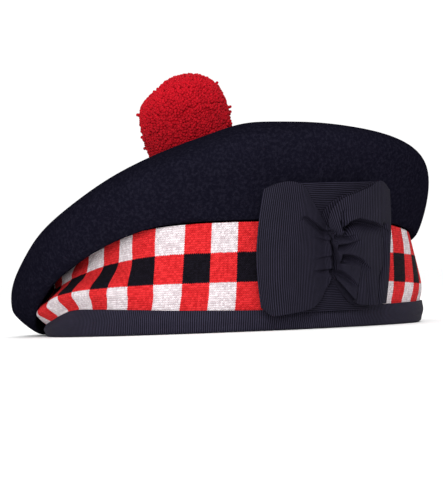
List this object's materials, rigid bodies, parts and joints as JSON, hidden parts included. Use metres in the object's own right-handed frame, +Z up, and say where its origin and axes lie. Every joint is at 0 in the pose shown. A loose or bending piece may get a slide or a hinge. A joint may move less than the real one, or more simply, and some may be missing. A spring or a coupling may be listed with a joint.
{
  "type": "balmoral bonnet",
  "caption": "Soft felted wool bonnet with a wide drooping crown, a diced knitted headband, a ribbon-bound lower edge, a wool toorie and a ribbon rosette at the left.",
  "frame": {"origin": "middle of the bonnet's box, at its base, on the surface it rests on", "axes": "front of the bonnet towards -Y, wearer's left (the rosette's side) towards +X, +Z up"},
  "size_m": [0.2182, 0.23, 0.1422],
  "materials": {
    "felt": "matt dark navy felted wool with a light nap",
    "dicing": "knitted wool, dice in red, white and black",
    "ribbon": "black ribbed petersham ribbon, slight sheen",
    "wool": "cut red wool yarn"
  },
  "bodies": {
    "root": {"crown": "felt", "diced_band": "dicing", "binding_ribbon": "ribbon", "toorie": "wool", "rosette_upright": "ribbon", "rosette_bow": "ribbon"}
  },
  "joints": []
}
